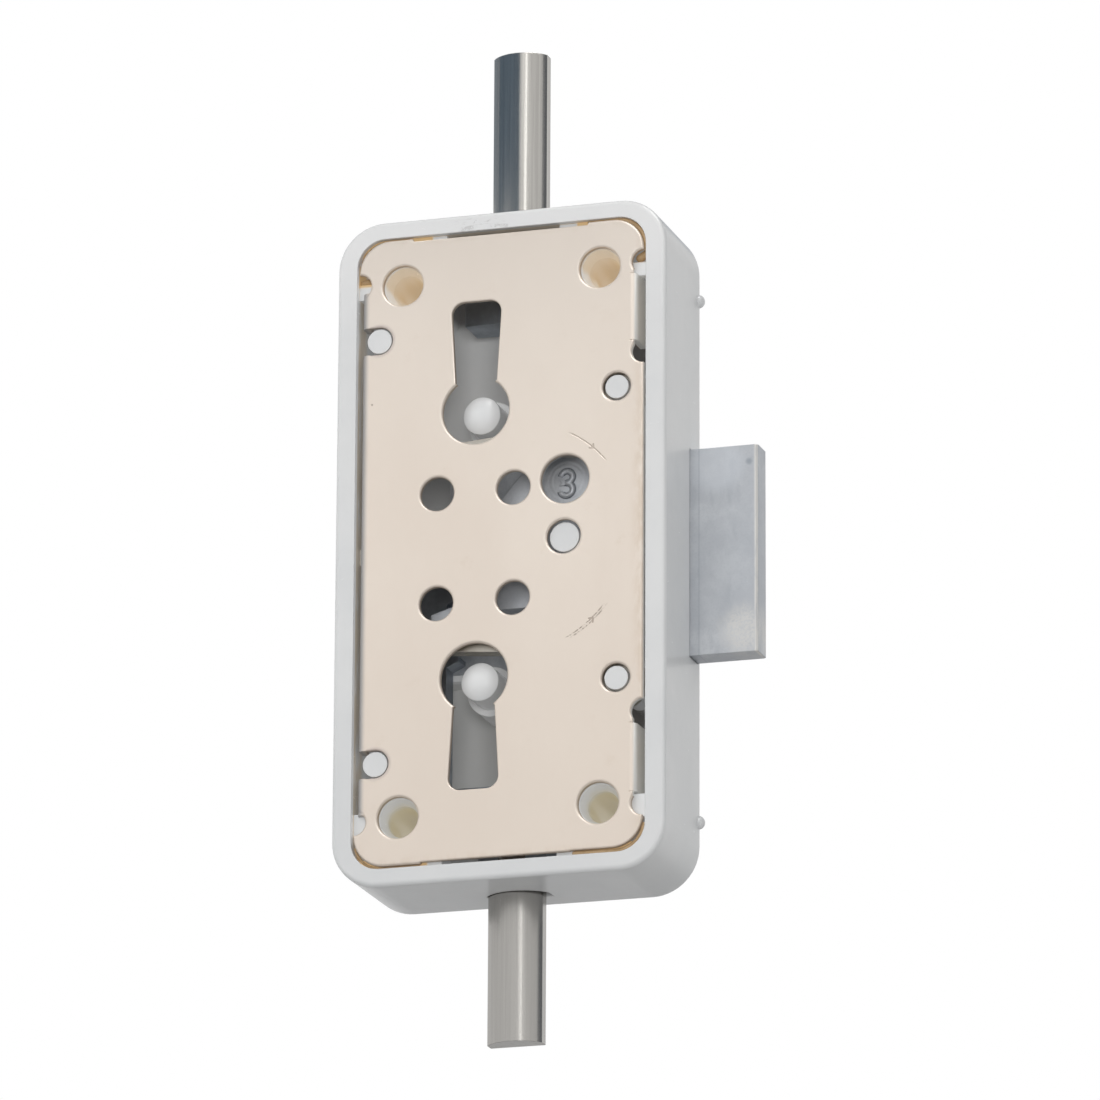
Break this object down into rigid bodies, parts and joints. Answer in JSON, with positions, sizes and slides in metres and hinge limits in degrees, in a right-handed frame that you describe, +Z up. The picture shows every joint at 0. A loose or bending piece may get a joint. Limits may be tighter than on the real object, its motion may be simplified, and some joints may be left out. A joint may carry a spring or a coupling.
{
  "type": "espagnolette lock set",
  "caption": "Surface lock with a rectangular dead bolt and half-round rods above and below; a key slides the bolt and a pinion drives the rods.",
  "frame": {"origin": "middle of the cover plate's outer face, which lies against the door", "axes": "+X towards the dead bolt's side, +Y from the door face into the room, +Z up along the rods"},
  "size_m": [0.0602, 0.018, 0.1492],
  "materials": {
    "case_plastic": "moulded light grey plastic, glossy",
    "plate_steel": "pressed sheet, warm nickel tone, satin",
    "bolt_zinc": "die-cast zinc, dull with fine mottling",
    "pin_steel": "bright turned steel",
    "gear_steel": "dark oiled steel",
    "rod_steel": "drawn steel, plated, satin",
    "lever_brass": "stamped brass sheet",
    "spring_wire": "spring wire"
  },
  "bodies": {
    "case": {"housing": "case_plastic", "cover_plate": "plate_steel", "pinion_axle": "pin_steel", "upper_spring_front": "spring_wire", "upper_spring_rear": "spring_wire", "lower_spring_front": "spring_wire", "lower_spring_rear": "spring_wire"},
    "bolt": {"dead_bolt": "bolt_zinc", "bolt_stumps": "pin_steel"},
    "pinion": {"drive_pinion": "gear_steel"},
    "upper_rod_slide": {"upper_rack": "gear_steel", "upper_rod": "rod_steel", "upper_rod_rivet": "pin_steel"},
    "lower_rod_slide": {"lower_rack": "gear_steel", "lower_rod": "rod_steel", "lower_rod_rivet": "pin_steel"},
    "lever_upper_front": {"upper_lever_front": "lever_brass"},
    "lever_upper_rear": {"upper_lever_rear": "lever_brass"},
    "lever_lower_front": {"lower_lever_front": "lever_brass"},
    "lever_lower_rear": {"lower_lever_rear": "lever_brass"}
  },
  "joints": [
    {"name": "bolt_throw", "type": "slide", "parent": "case", "child": "bolt", "axis": [1, 0, 0], "range_m": [-0.01, 0]},
    {"name": "pinion_turn", "type": "hinge", "parent": "case", "child": "pinion", "pos_m": [-0.0037, 0.0127, -0.0004], "axis": [0, 1, 0], "range_deg": [0, 100]},
    {"name": "upper_rod_travel", "type": "slide", "parent": "case", "child": "upper_rod_slide", "axis": [0, 0, 1], "range_m": [-0.01, 0]},
    {"name": "lower_rod_travel", "type": "slide", "parent": "case", "child": "lower_rod_slide", "axis": [0, 0, -1], "range_m": [-0.01, 0]},
    {"name": "upper_front_lever_turn", "type": "hinge", "parent": "case", "child": "lever_upper_front", "pos_m": [0.0176, 0.00195, 0.02175], "axis": [0, 1, 0], "range_deg": [-5, 0], "deforming": ["upper_spring_front"]},
    {"name": "upper_rear_lever_turn", "type": "hinge", "parent": "case", "child": "lever_upper_rear", "pos_m": [0.0176, 0.00335, 0.02175], "axis": [0, 1, 0], "range_deg": [-5, 0], "deforming": ["upper_spring_rear"]},
    {"name": "lower_front_lever_turn", "type": "hinge", "parent": "case", "child": "lever_lower_front", "pos_m": [0.0176, 0.00195, -0.02175], "axis": [0, 1, 0], "range_deg": [0, 5], "deforming": ["lower_spring_front"]},
    {"name": "lower_rear_lever_turn", "type": "hinge", "parent": "case", "child": "lever_lower_rear", "pos_m": [0.0176, 0.00335, -0.02175], "axis": [0, 1, 0], "range_deg": [0, 5], "deforming": ["lower_spring_rear"]}
  ],
  "couplings": [
    {"joint": "pinion_turn", "follows": "bolt_throw", "rad_per_m": -166.67},
    {"joint": "upper_rod_travel", "follows": "bolt_throw", "ratio": 1},
    {"joint": "lower_rod_travel", "follows": "bolt_throw", "ratio": 1},
    {"joint": "upper_front_lever_turn", "follows": "bolt_throw", "rad_per_m": 8.7266},
    {"joint": "upper_rear_lever_turn", "follows": "bolt_throw", "rad_per_m": 8.7266},
    {"joint": "lower_front_lever_turn", "follows": "bolt_throw", "rad_per_m": -8.7266},
    {"joint": "lower_rear_lever_turn", "follows": "bolt_throw", "rad_per_m": -8.7266}
  ]
}
